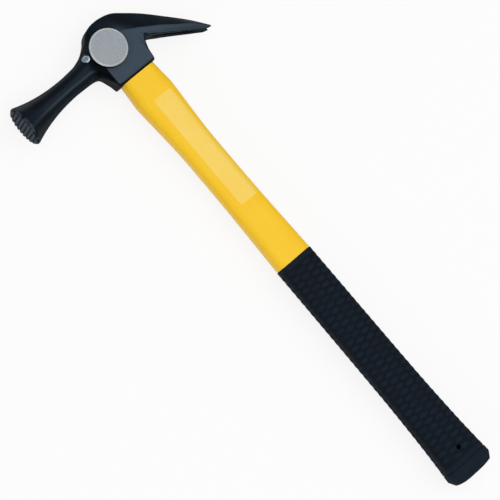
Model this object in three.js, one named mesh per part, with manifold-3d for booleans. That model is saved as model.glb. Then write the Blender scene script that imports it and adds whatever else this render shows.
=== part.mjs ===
// A formwork hammer lying on its side: forged head with a slotted claw, a milled bell face and a
// side-strike boss on each cheek, on a jacketed glass-fibre handle with a rubber grip.
// Millimetres. +X runs along the handle to the butt, +Y to the claw, -Y to the striking face, +Z up.
// The origin is under the handle's axis, level with the bosses' centre, in the plane of the lower boss face.
import * as THREE from 'three';
import { mergeVertices } from 'three/addons/utils/BufferGeometryUtils.js';
import Module from 'manifold-3d';

const wasm = await Module();
wasm.setup();

// Overall sizes
const overallLength = 448;
const gripLength = 214;
const fitGap = 0.3; // clearance between neighbouring pieces

// Glass-fibre bar, and the resin that locks it in the tapered eye
const coreWidth = 18;
const coreThickness = 10;
const coreTopInset = 3; // resin over the end of the bar
const resinAtSocket = 0.6;
const resinAtCrown = 1.5;
const resinInset = 0.4; // the resin ends this far below the crown

// Head: reaches are from the handle's axis, drops and depths from the bosses' centre towards the butt
const crownHeight = 21.3;
const socketDepth = 28.4;
const faceReach = 95;
const clawReach = 68.7;
const clawDrop = 34;
const faceDiameter = 33;
const neckDrop = 2; // the neck's axis where it meets the handle's axis
const faceDrop = 5.5; // the neck hangs slightly towards the butt
const rimChamfer = 1.2;
const rimBand = 3;
const neckDiameter = 16.4;
const neckWaist = 46; // where the neck is thinnest
const bellPower = 2.2;
const crownLip = 1.7; // steel beside the eye at the top of the crown
const socketWall = 4.3; // steel beside the eye at the bottom of the socket
const frontWall = 7.8;
const rearWall = 5.2;
const cheekSwell = 2.5; // each cheek stands this far out from the bottom of the socket
const crotchDepth = 11; // underside of the claw where it leaves the eye block
const crotchRun = 7.3; // from the rear of the socket to the underside of the claw
const clawTipWidth = 14;
const clawTipThickness = 1.5;
const clawHollow = 1.8; // the claw's underside is dished by this much
const forgedEdge = 1.8;
const clawEdge = 0.9;

// Side-strike bosses
const bossDiameter = 30;
const bossRise = 3.7; // each boss stands this far out from its cheek
const bossOffset = 7.5; // towards the face
const bossChamfer = 0.9;

// Milled face
const toothPitch = 3.4;
const toothDepth = 1.1;
const toothFlat = 1.3;
const crossPassLift = 0.08; // the second pass is milled this much shallower

// Nail slot in the claw
const slotLength = 42;
const slotRootWidth = 3;
const slotMouthWidth = 9.6;
const slotBevel = 1.1; // the slot widens by this on each side at the top of the claw

// Nail magnet, pressed across the root of the neck beside the boss
const magnetDiameter = 5.6;
const magnetGap = 0.45; // steel between the boss and the magnet
const magnetTurn = 14; // degrees from the head's axis towards the crown
const magnetInset = 0.6; // its ends lie this far below the sides of the neck

// Jacket: sizes of its oval section, with places measured from the bottom of the socket
const jacketShoulder = { width: 29, thickness: 20.5 };
const jacketSwell = { at: 20, width: 33, thickness: 21.5 };
const jacketWaist = { from: 77, to: 103, width: 27.6, thickness: 19 };
const jacketFoot = { width: 30.2, thickness: 22 };
const tenonChamfer = 2;

// Grip: sizes of its oval section, with places measured from its mouth
const gripWall = 3;
const buttWall = 6;
const gripMouth = { width: 31.4, thickness: 23 };
const gripMiddle = { at: 120, width: 32.3, thickness: 24.2 };
const gripSwell = 1.3; // growth between the middle and the start of the flare
const gripButt = { width: 38, thickness: 30.4 };
const buttDome = 2;
const buttChamfer = { run: 5, inset: 2.9 };
const bandLength = 12.7; // smooth band at the butt, behind a groove
const bandGroove = 1.2;
const flareLength = 46;
const mouthChamfer = 0.6;
const gripRib = { pitch: 5.75, rise: 0.5, columns: 12, fromMouth: 4, fromBand: 4 }; // staggered bars
const cordHole = { diameter: 4.6, fromButt: 23, wall: 5 };

// Fineness of the facets
const eyePower = 2.5; // boxier than an ellipse
const handlePower = 3.5; // flat sides with round edges
const ovalSides = 40;
const ribCrest = [0.55, 1, 0.55]; // heights across one bar
const roundSides = 24;
const bossSides = 48;

// What follows from the sizes above
const buttX = overallLength - crownHeight;
const gripX = buttX - gripLength;
const neckRadius = neckDiameter / 2;
const faceRadius = faceDiameter / 2;
const octagonSide = Math.tan(Math.PI / 8); // half side of an octagon of unit inner radius
const eyeGrowth = { crown: 2 * (resinAtCrown + 2 * fitGap), socket: 2 * (resinAtSocket + 2 * fitGap) };
const crownWidth = coreThickness + eyeGrowth.crown + 2 * crownLip;
const socketSpan = coreThickness + eyeGrowth.socket + 2 * socketWall;
const socketFront = (coreWidth + eyeGrowth.socket) / 2 + frontWall;
const socketRear = (coreWidth + eyeGrowth.socket) / 2 + rearWall;
const crotchReach = socketRear + crotchRun;
const cheekSpan = socketSpan + 2 * cheekSwell;
const bossSpan = cheekSpan + 2 * bossRise;
const magnetDistance = bossDiameter / 2 + magnetGap + magnetDiameter / 2;
const magnetX = -magnetDistance * Math.sin(THREE.MathUtils.degToRad(magnetTurn));
const magnetY = -bossOffset - magnetDistance * Math.cos(THREE.MathUtils.degToRad(magnetTurn));
const coreTop = -crownHeight + coreTopInset;
const coreEnd = buttX - cordHole.fromButt - cordHole.diameter / 2 - cordHole.wall;
const jacketTop = socketDepth + fitGap;
const jacketStep = gripX - fitGap;
const tenonEnd = buttX - buttWall - fitGap;
const tenon = {
  width: gripMouth.width - 2 * (gripWall + fitGap),
  thickness: gripMouth.thickness - 2 * (gripWall + fitGap),
};

// A smooth line through [position, value] points that never overshoots them.
function lineThrough(points) {
  const count = points.length;
  const rise = [];
  for (let i = 0; i + 1 < count; i += 1) {
    rise.push((points[i + 1][1] - points[i][1]) / (points[i + 1][0] - points[i][0]));
  }
  const slope = points.map((point, i) => {
    if (i === 0) return rise[0];
    if (i === count - 1) return rise[count - 2];
    const product = rise[i - 1] * rise[i];
    return product > 0 ? (2 * product) / (rise[i - 1] + rise[i]) : 0;
  });
  return (position) => {
    const at = THREE.MathUtils.clamp(position, points[0][0], points[count - 1][0]);
    let i = 0;
    while (i + 2 < count && at > points[i + 1][0]) i += 1;
    const span = points[i + 1][0] - points[i][0];
    const t = (at - points[i][0]) / span;
    const start = (1 + 2 * t) * (1 - t) ** 2 * points[i][1] + t * (1 - t) ** 2 * span * slope[i];
    const end = t * t * (3 - 2 * t) * points[i + 1][1] + t * t * (t - 1) * span * slope[i + 1];
    return start + end;
  };
}

// Joins rings of equally many points, listed anticlockwise about the loft's direction, into a closed skin.
function loft(rings) {
  const size = rings[0].length;
  const points = rings.flat();
  const firstCentre = points.length;
  const lastRing = (rings.length - 1) * size;
  for (const ring of [rings[0], rings[rings.length - 1]]) {
    const centre = new THREE.Vector3();
    ring.forEach((point) => centre.addScaledVector(point, 1 / size));
    points.push(centre);
  }
  const index = [];
  for (let i = 0; i < size; i += 1) {
    const next = (i + 1) % size;
    for (let row = 0; row < lastRing; row += size) {
      index.push(row + i, row + next, row + size + next);
      index.push(row + i, row + size + next, row + size + i);
    }
    index.push(firstCentre, next, i);
    index.push(firstCentre + 1, lastRing + i, lastRing + next);
  }
  const geometry = new THREE.BufferGeometry().setFromPoints(points);
  geometry.setIndex(index);
  return geometry;
}

function solidFrom(geometry) {
  const bare = geometry.clone();
  bare.deleteAttribute('normal');
  bare.deleteAttribute('uv');
  const merged = mergeVertices(bare, 1e-5);
  const vertProperties = new Float32Array(merged.attributes.position.array);
  const triVerts = new Uint32Array(merged.index.array);
  return new wasm.Manifold(new wasm.Mesh({ numProp: 3, vertProperties, triVerts }));
}

function geometryFrom(solid) {
  const { vertProperties, triVerts } = solid.getMesh();
  const geometry = new THREE.BufferGeometry();
  geometry.setAttribute('position', new THREE.BufferAttribute(vertProperties, 3));
  geometry.setIndex(new THREE.BufferAttribute(triVerts, 1));
  return geometry;
}

// A round bar across the hammer through (x, y), reaching the given distance to each side of its middle.
function crossBar(diameter, x, y, reach) {
  const bar = new THREE.CylinderGeometry(diameter / 2, diameter / 2, 2 * reach, roundSides);
  bar.rotateX(Math.PI / 2);
  bar.translate(x, y, 0);
  return solidFrom(bar);
}

function ovalRing([x, width, thickness], power, sides) {
  const bulge = (value) => Math.sign(value) * Math.abs(value) ** (2 / power);
  return Array.from({ length: sides }, (unused, i) => {
    const angle = (2 * Math.PI * i) / sides;
    const y = (bulge(Math.cos(angle)) * width) / 2;
    const z = (bulge(Math.sin(angle)) * thickness) / 2;
    return new THREE.Vector3(x, y, z);
  });
}

// An oval bar along the handle; stations are [x, width, thickness].
function ovalBar(stations, power) {
  return solidFrom(loft(stations.map((station) => ovalRing(station, power, ovalSides))));
}

// A section of the handle with its points spaced evenly round it.
function evenRing(station, sides) {
  const outline = new THREE.CatmullRomCurve3(ovalRing(station, handlePower, 3 * ovalSides), true);
  return outline.getSpacedPoints(sides).slice(0, sides);
}

function steps(from, to, count) {
  return Array.from({ length: count }, (unused, i) => from + ((to - from) * i) / count);
}

// The lines that the forged head is lofted along. Each gives, at a distance y from the handle's axis, how
// far an edge of the section lies from the bosses' centre (x) or from the middle plane (half).
function headLines() {
  const between = (from, to) => (share) => THREE.MathUtils.lerp(from, to, share);
  const rootAt = between(-neckWaist, -socketFront);
  const eyeAt = between(-socketFront, socketRear);
  const crotchAt = between(socketRear, crotchReach);
  const clawAt = between(crotchReach, clawReach);
  const axisAt = (y) => neckDrop + (-y / faceReach) * (faceDrop - neckDrop);
  const neckTop = axisAt(-neckWaist) - neckRadius;
  const neckUnder = axisAt(-neckWaist) + neckRadius;
  const neckFlat = neckRadius * octagonSide;
  const tipUnder = clawDrop + clawTipThickness;
  const halfCheek = cheekSpan / 2;
  const halfSocket = socketSpan / 2;
  const halfCrown = crownWidth / 2;
  const halfTip = clawTipWidth / 2;

  const top = lineThrough([
    [-neckWaist, neckTop], [rootAt(0.36), neckTop - 0.9], [rootAt(0.55), neckTop - 2.3],
    [rootAt(0.73), neckTop - 4.3], [rootAt(0.89), -crownHeight + 9.8], [eyeAt(0.025), -crownHeight + 6.4],
    [eyeAt(0.12), -crownHeight + 3.4], [eyeAt(0.25), -crownHeight + 1.1], [eyeAt(0.425), -crownHeight + 0.1],
    [eyeAt(0.54), -crownHeight], [eyeAt(0.66), -crownHeight + 0.3], [eyeAt(0.9), -crownHeight + 1.7],
    [crotchReach, -12.2], [clawAt(0.25), -2.5], [clawAt(0.5), 9], [clawAt(0.78), 21.6], [clawReach, clawDrop],
  ]);
  const under = lineThrough([
    [-neckWaist, neckUnder], [rootAt(0.36), neckUnder + 0.1], [rootAt(0.57), neckUnder + 0.4],
    [rootAt(0.71), neckUnder + 1.2], [rootAt(0.78), neckUnder + 2.4], [rootAt(0.84), neckUnder + 4.8],
    [rootAt(0.9), neckUnder + 8.6], [rootAt(0.954), socketDepth - 4.5], [-socketFront, socketDepth],
    [socketRear, socketDepth], [crotchAt(0.12), socketDepth - 1.4], [crotchAt(0.23), socketDepth - 8],
    [crotchAt(0.36), crotchDepth + 6.6], [crotchAt(0.63), crotchDepth + 2.1], [crotchReach, crotchDepth],
    [clawAt(0.25), 16.6], [clawAt(0.43), 20.9], [clawAt(0.78), 29.8], [clawReach, tipUnder],
  ]);
  const ridge = lineThrough([
    [-neckWaist, axisAt(-neckWaist) - neckFlat], [rootAt(0.57), -2], [rootAt(0.86), -5.2], [eyeAt(0.12), -9],
    [eyeAt(0.36), -8.6], [eyeAt(0.78), -3.4], [crotchReach, 3.6], [clawAt(0.25), 9.4], [clawAt(0.52), 17.6],
    [clawAt(0.78), 25.2], [clawReach, clawDrop + clawTipThickness * 0.5],
  ]);
  const lowRidge = lineThrough([
    [-neckWaist, axisAt(-neckWaist) + neckFlat], [rootAt(0.57), 7.4], [rootAt(0.79), 10], [rootAt(0.93), 18],
    [-socketFront, socketDepth - 2.4], [socketRear, socketDepth - 2.4], [crotchAt(0.23), socketDepth - 10],
    [crotchAt(0.36), crotchDepth + 5], [crotchAt(0.63), crotchDepth + 0.8], [crotchReach, crotchDepth - 1],
    [clawAt(0.25), 15.4], [clawAt(0.43), 19.9], [clawAt(0.78), 29.2],
    [clawReach, tipUnder - clawTipThickness * 0.3],
  ]);
  const topHalf = lineThrough([
    [-neckWaist, neckFlat], [rootAt(0.57), neckFlat + 0.8], [rootAt(0.86), neckFlat + 2.6],
    [eyeAt(0.12), halfCrown - 0.2], [eyeAt(0.36), halfCrown], [eyeAt(0.72), halfCrown],
    [crotchAt(0.08), halfCrown - 1.5], [clawAt(0.12), halfCrown - 2], [clawAt(0.52), halfCrown - 3],
    [clawReach, halfTip - 1.2],
  ]);
  const ridgeHalf = lineThrough([
    [-neckWaist, neckRadius], [rootAt(0.36), neckRadius + 0.5], [rootAt(0.57), neckRadius + 1.7],
    [rootAt(0.75), halfCheek - 2], [rootAt(0.96), halfCheek - 0.6], [eyeAt(0.18), halfCheek],
    [crotchReach, halfCheek], [clawAt(0.25), halfCheek - 1.4], [clawAt(0.78), halfTip + 2],
    [clawReach, halfTip],
  ]);
  const lowHalf = lineThrough([
    [-neckWaist, neckRadius], [rootAt(0.36), neckRadius + 0.4], [rootAt(0.57), neckRadius + 1.4],
    [rootAt(0.75), halfSocket - 0.4], [-socketFront, halfSocket], [socketRear, halfSocket],
    [crotchAt(0.63), halfCheek - 1.2], [crotchReach, halfCheek - 0.5], [clawAt(0.25), halfCheek - 1.6],
    [clawAt(0.78), halfTip + 1.9], [clawReach, halfTip - 0.1],
  ]);
  const underHalf = lineThrough([
    [-neckWaist, neckFlat], [rootAt(0.57), neckFlat + 1], [rootAt(0.75), neckFlat + 2.2],
    [rootAt(0.89), halfSocket - 2.5], [-socketFront, halfSocket - 0.8], [socketRear, halfSocket - 0.8],
    [crotchAt(0.63), halfCheek - 2], [crotchReach, halfCheek - 1.4], [clawAt(0.25), halfCheek - 2.4],
    [clawAt(0.78), halfTip + 1.2], [clawReach, halfTip - 0.7],
  ]);
  const edge = lineThrough([
    [-neckWaist, neckFlat], [rootAt(0.57), 2 * forgedEdge], [rootAt(0.86), 1.5 * forgedEdge],
    [-socketFront, forgedEdge], [crotchReach, forgedEdge], [clawAt(0.25), clawEdge],
    [clawReach, clawTipThickness * 0.3],
  ]);
  return { axisAt, top, under, ridge, lowRidge, topHalf, ridgeHalf, lowHalf, underHalf, edge };
}

// A ring from a section's corners, each (x, z), with every corner rounded over the given length.
function roundedRing(y, corners, edge) {
  const ring = [];
  corners.forEach((corner, i) => {
    const before = corners[(i + corners.length - 1) % corners.length];
    const after = corners[(i + 1) % corners.length];
    const towards = (other) => {
      const share = Math.min(edge / corner.distanceTo(other), 0.5);
      return corner.clone().lerp(other, share);
    };
    const arc = new THREE.QuadraticBezierCurve(towards(before), corner, towards(after));
    for (const t of [1 / 6, 1 / 2, 5 / 6]) {
      const point = arc.getPoint(t);
      ring.push(new THREE.Vector3(point.x, y, point.y));
    }
  });
  return ring;
}

// The eight corners of a section that is the same on both cheeks, from the lower ridge round to the upper.
function headSection(low, under, ridge, top) {
  const mirrored = ([x, z]) => [x, -z];
  const corners = [low, under, mirrored(under), mirrored(low), mirrored(ridge), mirrored(top), top, ridge];
  return corners.map(([x, z]) => new THREE.Vector2(x, z));
}

function roundSection(axis, radius) {
  const side = radius * octagonSide;
  const low = [axis + side, radius];
  const under = [axis + radius, side];
  const ridge = [axis - side, radius];
  const top = [axis - radius, side];
  return headSection(low, under, ridge, top);
}

// The forging before it is drilled: bell, neck, eye block and claw in one loft along the head's axis.
function headForging(lines) {
  const bandEnd = -faceReach + rimBand;
  const rootStart = THREE.MathUtils.lerp(-neckWaist, -socketFront, 0.65);
  const rings = [];
  const roundAt = (y, radius) => rings.push(roundedRing(y, roundSection(lines.axisAt(y), radius), radius));
  roundAt(-faceReach, faceRadius - rimChamfer);
  roundAt(-faceReach + rimChamfer, faceRadius);
  for (const y of steps(bandEnd, -neckWaist, 12)) {
    const flare = (-y - neckWaist) / (-bandEnd - neckWaist);
    roundAt(y, neckRadius + (faceRadius - neckRadius) * flare ** bellPower);
  }
  const stations = [
    ...steps(-neckWaist, rootStart, 7),
    ...steps(rootStart, -socketFront, 10),
    ...steps(-socketFront, socketRear, 12),
    ...steps(socketRear, crotchReach, 9),
    ...steps(crotchReach, clawReach, 12),
    clawReach,
  ];
  for (const y of stations) {
    const corners = headSection(
      [lines.lowRidge(y), lines.lowHalf(y)],
      [lines.under(y), lines.underHalf(y)],
      [lines.ridge(y), lines.ridgeHalf(y)],
      [lines.top(y), lines.topHalf(y)],
    );
    rings.push(roundedRing(y, corners, lines.edge(y)));
  }
  return loft(rings);
}

// What is dished out of the claw's underside, shallow where the claw leaves the eye block and at the tips.
function clawTrough(lines) {
  const clawAt = (share) => THREE.MathUtils.lerp(crotchReach, clawReach, share);
  const startY = THREE.MathUtils.lerp(socketRear, crotchReach, 0.6);
  const endY = clawReach + clawTipThickness;
  const depth = lineThrough([
    [startY, -clawTipThickness], [crotchReach, clawHollow * 0.6], [clawAt(0.15), clawHollow],
    [clawAt(0.5), clawHollow], [clawReach, clawTipThickness * 0.3],
  ]);
  const across = 8; // facets over the dish
  const rings = [...steps(startY, endY, 14), endY].map((y) => {
    const half = lines.underHalf(y) - clawEdge;
    const outline = [];
    for (let i = 0; i <= across; i += 1) {
      const side = 1 - (2 * i) / across;
      outline.push(new THREE.Vector3(lines.under(y) - depth(y) * (1 - side ** 2), y, side * half));
    }
    const clear = lines.under(y) + clawHollow;
    outline.push(new THREE.Vector3(clear, y, -half), new THREE.Vector3(clear, y, half));
    return outline.reverse();
  });
  return solidFrom(loft(rings));
}

// Both bosses as one turned bar across the cheeks, with a chamfered rim at each end.
function bossBar() {
  const radius = bossDiameter / 2;
  const half = bossSpan / 2;
  const profile = [
    new THREE.Vector2(0, -half),
    new THREE.Vector2(radius - bossChamfer, -half),
    new THREE.Vector2(radius, -half + bossChamfer),
    new THREE.Vector2(radius, half - bossChamfer),
    new THREE.Vector2(radius - bossChamfer, half),
    new THREE.Vector2(0, half),
  ];
  const bar = new THREE.LatheGeometry(profile, bossSides);
  bar.rotateX(Math.PI / 2);
  bar.translate(0, -bossOffset, 0);
  return solidFrom(bar);
}

// Crossed V grooves that leave rows of blunt teeth on the striking face.
function faceGrooves(lines) {
  const halfTop = (toothPitch - toothFlat) / 2;
  const outline = new THREE.Shape([
    new THREE.Vector2(-halfTop, 0),
    new THREE.Vector2(0, -toothDepth),
    new THREE.Vector2(halfTop, 0),
    new THREE.Vector2(halfTop, toothDepth),
    new THREE.Vector2(-halfTop, toothDepth),
  ]);
  const length = faceDiameter + toothPitch;
  const rows = Math.floor(faceRadius / toothPitch + 0.5);
  const passes = [{ turn: 0, lift: 0 }, { turn: Math.PI / 2, lift: crossPassLift }];
  let grooves = null;
  for (let row = -rows; row < rows; row += 1) {
    for (const { turn, lift } of passes) {
      const groove = new THREE.ExtrudeGeometry(outline, { depth: length, bevelEnabled: false });
      groove.translate((row + 0.5) * toothPitch, lift, -length / 2);
      groove.rotateZ(Math.PI);
      groove.rotateY(turn);
      groove.translate(lines.axisAt(-faceReach), -faceReach, 0);
      const solid = solidFrom(groove);
      grooves = grooves ? grooves.add(solid) : solid;
    }
  }
  return grooves;
}

// The nail slot: a round-ended wedge that opens towards the tips and towards the top of the claw.
function nailSlot(lines) {
  const aimY = THREE.MathUtils.lerp(crotchReach, clawReach, 0.13);
  const aim = new THREE.Vector2((lines.top(aimY) + lines.under(aimY)) / 2, aimY);
  const tip = new THREE.Vector2(clawDrop, clawReach);
  const along = tip.clone().sub(aim).normalize();
  const overrun = slotMouthWidth;
  const cutDepth = crownHeight; // clear of the claw on both sides
  const rootArc = 6; // facets round the root of the slot
  const ringAt = (height, widen) => {
    const rootHalf = slotRootWidth / 2 + widen;
    const mouthHalf = slotMouthWidth / 2 + widen;
    const outline = [];
    for (let i = 0; i <= rootArc; i += 1) {
      const angle = (Math.PI * i) / rootArc;
      outline.push([-slotLength - rootHalf * Math.sin(angle), -rootHalf * Math.cos(angle)]);
    }
    outline.push([0, mouthHalf], [overrun, mouthHalf], [overrun, -mouthHalf], [0, -mouthHalf]);
    return outline.map(([run, z]) => new THREE.Vector3(
      tip.x + along.x * run - along.y * height,
      tip.y + along.y * run + along.x * height,
      z,
    ));
  };
  const bevelStart = -clawTipThickness * 2;
  const bevelEnd = clawTipThickness * 4;
  return solidFrom(loft([
    ringAt(-cutDepth, 0),
    ringAt(bevelStart, 0),
    ringAt(bevelEnd, slotBevel),
    ringAt(cutDepth, slotBevel),
  ]));
}

// A bar that fills the tapered eye, smaller all round by the given amount.
function eyeFill(less, topX, footX) {
  const station = (x) => {
    const growth = THREE.MathUtils.mapLinear(x, -crownHeight, socketDepth, eyeGrowth.crown, eyeGrowth.socket);
    return [x, coreWidth + growth - 2 * less, coreThickness + growth - 2 * less];
  };
  return ovalBar([station(topX), station(footX)], eyePower);
}

// The glass-fibre bar, larger all round by the given amount.
function coreBar(extra, fromX, toX) {
  const width = coreWidth + 2 * extra;
  const thickness = coreThickness + 2 * extra;
  return ovalBar([[fromX, width, thickness], [toX, width, thickness]], eyePower);
}

function buildHead(lines) {
  const overrun = 1;
  return solidFrom(headForging(lines))
    .subtract(clawTrough(lines))
    .add(bossBar())
    .subtract(eyeFill(0, -crownHeight - overrun, socketDepth + overrun))
    .subtract(crossBar(magnetDiameter + 2 * fitGap, magnetX, magnetY, bossSpan))
    .subtract(nailSlot(lines))
    .subtract(faceGrooves(lines));
}

// The magnet's ends follow the sides of the neck, a little below them.
function buildMagnet(lines) {
  const share = 1 - magnetInset / lines.ridgeHalf(magnetY);
  const underSides = solidFrom(headForging(lines).scale(1, 1, share));
  return crossBar(magnetDiameter, magnetX, magnetY, bossSpan).intersect(underSides);
}

// The resin's top follows the crown, a little below it.
function buildResin(lines) {
  const underCrown = solidFrom(headForging(lines).translate(resinInset, 0, 0));
  return eyeFill(fitGap, -crownHeight, socketDepth - fitGap)
    .intersect(underCrown)
    .subtract(coreBar(fitGap, coreTop - fitGap, jacketTop));
}

function buildCore() {
  return coreBar(0, coreTop, coreEnd);
}

// The hole for a safety cord, through the grip and the jacket's tenon.
function cordBore() {
  return crossBar(cordHole.diameter, buttX - cordHole.fromButt, 0, gripButt.thickness);
}

function buildJacket() {
  const reveal = jacketStep - jacketTop;
  const alongJacket = (size) => {
    const taper = lineThrough([
      [jacketSwell.at, jacketSwell[size]], [jacketWaist.from, jacketWaist[size]],
      [jacketWaist.to, jacketWaist[size]], [reveal, jacketFoot[size]],
    ]);
    const flare = (jacketSwell[size] - jacketShoulder[size]) / jacketSwell.at;
    return (d) => (d < jacketSwell.at ? jacketShoulder[size] + flare * d : taper(d));
  };
  const widthAt = alongJacket('width');
  const thicknessAt = alongJacket('thickness');
  const places = [0, ...steps(jacketSwell.at, reveal, 17), reveal];
  const stations = places.map((d) => [jacketTop + d, widthAt(d), thicknessAt(d)]);
  const tail = ovalBar([
    [jacketStep - gripWall, tenon.width, tenon.thickness],
    [tenonEnd - tenonChamfer, tenon.width, tenon.thickness],
    [tenonEnd, tenon.width - 2 * tenonChamfer, tenon.thickness - 2 * tenonChamfer],
  ], handlePower);
  return ovalBar(stations, handlePower)
    .add(tail)
    .subtract(coreBar(fitGap, socketDepth, coreEnd + fitGap))
    .subtract(cordBore());
}

// A ring of the ribbed stretch: bars stand on every other column, and one ring on, on the columns between.
function ribbedRing(base, raised, row) {
  return base.map((point, i) => {
    const column = Math.floor(i / ribCrest.length);
    const standing = (column + row) % 2 === 0;
    return point.clone().lerp(raised[i], standing ? ribCrest[i % ribCrest.length] : 0);
  });
}

function buildGrip() {
  const chamferStart = gripLength - buttDome - buttChamfer.run;
  const flareStart = gripLength - flareLength;
  const bandStart = gripLength - bandLength;
  const alongGrip = (size) => lineThrough([
    [0, gripMouth[size]], [gripMiddle.at, gripMiddle[size]], [flareStart, gripMiddle[size] + gripSwell],
    [chamferStart, gripButt[size]],
  ]);
  const widthAt = alongGrip('width');
  const thicknessAt = alongGrip('thickness');
  const stationAt = (d, less = 0) => [gripX + d, widthAt(d) - 2 * less, thicknessAt(d) - 2 * less];
  const sides = gripRib.columns * ribCrest.length;
  const ringAt = (d, less = 0) => evenRing(stationAt(d, less), sides);
  const rings = [ringAt(0, mouthChamfer), ringAt(mouthChamfer)];
  const ribStart = gripRib.fromMouth;
  const ribEnd = bandStart - bandGroove - gripRib.fromBand;
  const rowStep = gripRib.pitch / 2;
  for (let row = 0; ribStart + row * rowStep < ribEnd; row += 1) {
    const d = ribStart + row * rowStep;
    rings.push(ribbedRing(ringAt(d, gripRib.rise / 2), ringAt(d, -gripRib.rise / 2), row));
  }
  rings.push(
    ringAt(ribEnd + rowStep),
    ringAt(bandStart - bandGroove),
    ringAt(bandStart - bandGroove / 2, bandGroove / 2),
    ringAt(bandStart),
    ringAt(chamferStart),
  );
  const domeHalf = gripButt.thickness / 2 - buttChamfer.inset;
  const domeShares = [1, 0.85, 0.6, 0.3];
  const flatShare = domeShares[domeShares.length - 1];
  for (const share of domeShares) {
    const rise = (buttDome * (1 - share ** 2)) / (1 - flatShare ** 2);
    const inset = buttChamfer.inset + domeHalf * (1 - share);
    rings.push(ringAt(chamferStart + buttChamfer.run + rise, inset));
  }
  const bore = ovalBar([
    [gripX - gripWall, tenon.width + 2 * fitGap, tenon.thickness + 2 * fitGap],
    [buttX - buttWall, tenon.width + 2 * fitGap, tenon.thickness + 2 * fitGap],
  ], handlePower);
  return solidFrom(loft(rings)).subtract(bore).subtract(cordBore());
}

function finish(color, roughness, metalness) {
  return new THREE.MeshStandardMaterial({ color, roughness, metalness });
}

const blackPaint = finish(0x1a222b, 0.35, 0.2);
const brightMetal = finish(0xa9b2b8, 0.3, 1);
const amberResin = finish(0x8a7a3c, 0.4, 0);
const glassFibre = finish(0xd8cfae, 0.6, 0);
const yellowPlastic = finish(0xf5c92e, 0.45, 0);
const blackRubber = finish(0x171c22, 0.85, 0);

const lines = headLines();
const hammer = new THREE.Group();
hammer.position.z = bossSpan / 2;

function addPiece(name, solid, material) {
  const piece = new THREE.Mesh(geometryFrom(solid), material);
  piece.name = name;
  hammer.add(piece);
}

addPiece('hammer_head', buildHead(lines), blackPaint);
addPiece('nail_magnet', buildMagnet(lines), brightMetal);
addPiece('eye_resin', buildResin(lines), amberResin);
addPiece('handle_core', buildCore(), glassFibre);
addPiece('handle_jacket', buildJacket(), yellowPlastic);
addPiece('rubber_grip', buildGrip(), blackRubber);

export default hammer;
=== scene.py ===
import math

import bmesh
import bpy
from mathutils import Matrix, Vector


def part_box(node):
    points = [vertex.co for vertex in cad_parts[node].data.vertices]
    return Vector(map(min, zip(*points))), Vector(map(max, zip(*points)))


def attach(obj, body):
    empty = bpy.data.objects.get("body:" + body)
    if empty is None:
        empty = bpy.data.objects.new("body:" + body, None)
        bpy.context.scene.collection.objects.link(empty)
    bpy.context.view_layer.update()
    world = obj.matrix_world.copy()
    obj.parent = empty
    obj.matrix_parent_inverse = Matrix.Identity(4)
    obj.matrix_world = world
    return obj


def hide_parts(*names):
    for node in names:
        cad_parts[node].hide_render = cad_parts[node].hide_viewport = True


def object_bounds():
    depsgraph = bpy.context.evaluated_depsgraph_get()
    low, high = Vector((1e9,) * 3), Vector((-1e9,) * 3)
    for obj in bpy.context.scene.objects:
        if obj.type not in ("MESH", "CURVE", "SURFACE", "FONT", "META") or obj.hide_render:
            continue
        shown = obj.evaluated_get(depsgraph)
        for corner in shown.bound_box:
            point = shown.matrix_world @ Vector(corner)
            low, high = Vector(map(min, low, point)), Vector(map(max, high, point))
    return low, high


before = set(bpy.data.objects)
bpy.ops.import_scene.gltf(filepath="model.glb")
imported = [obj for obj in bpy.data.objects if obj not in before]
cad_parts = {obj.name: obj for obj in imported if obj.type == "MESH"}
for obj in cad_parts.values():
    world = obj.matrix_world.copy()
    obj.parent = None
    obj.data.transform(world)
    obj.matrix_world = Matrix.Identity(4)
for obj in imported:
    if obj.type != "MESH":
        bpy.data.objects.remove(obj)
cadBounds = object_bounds()
print("frame loaded with", len(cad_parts), "CAD nodes")

mm = 0.001
scene = bpy.context.scene
scene.view_settings.view_transform = "Standard"

headLow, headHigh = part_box("hammer_head")
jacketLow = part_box("handle_jacket")[0]
gripLow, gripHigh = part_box("rubber_grip")
magnetLow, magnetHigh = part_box("nail_magnet")
coreLow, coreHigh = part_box("handle_core")
midZ = (headLow.z + headHigh.z) / 2      # the hammer is the same above and below this plane
fitGap = 0.3                             # mm between neighbouring pieces
socketDepth = jacketLow.x / mm - fitGap  # mm from the bosses' centre to the bottom of the socket
weld, sliver = 1e-7, 1.5e-5              # metres: points this close are one, faces this thin are folded away


# lines and meshes, in mm about the middle plane

def lineThrough(points):
    # a smooth line through (position, value) points that never overshoots them
    rise = [(b[1] - a[1]) / (b[0] - a[0]) for a, b in zip(points, points[1:])]
    slope = [rise[0]]
    for a, b in zip(rise, rise[1:]):
        slope.append(2 * a * b / (a + b) if a * b > 0 else 0)
    slope.append(rise[-1])

    def valueAt(position):
        at = min(max(position, points[0][0]), points[-1][0])
        i = 0
        while i + 2 < len(points) and at > points[i + 1][0]:
            i += 1
        span = points[i + 1][0] - points[i][0]
        t = (at - points[i][0]) / span
        start = (1 + 2 * t) * (1 - t) ** 2 * points[i][1] + t * (1 - t) ** 2 * span * slope[i]
        end = t * t * (3 - 2 * t) * points[i + 1][1] + t * t * (t - 1) * span * slope[i + 1]
        return start + end
    return valueAt


def between(start, end):
    return lambda share: start + (end - start) * share


def steps(start, end, count):
    return [start + (end - start) * i / count for i in range(count)]


def rework(mesh, *changes):
    work = bmesh.new()
    work.from_mesh(mesh)
    for change in changes:
        change(work)
    work.to_mesh(mesh)
    work.free()


def objectFrom(name, mesh):
    piece = bpy.data.objects.new(name, mesh)
    scene.collection.objects.link(piece)
    return piece


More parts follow.
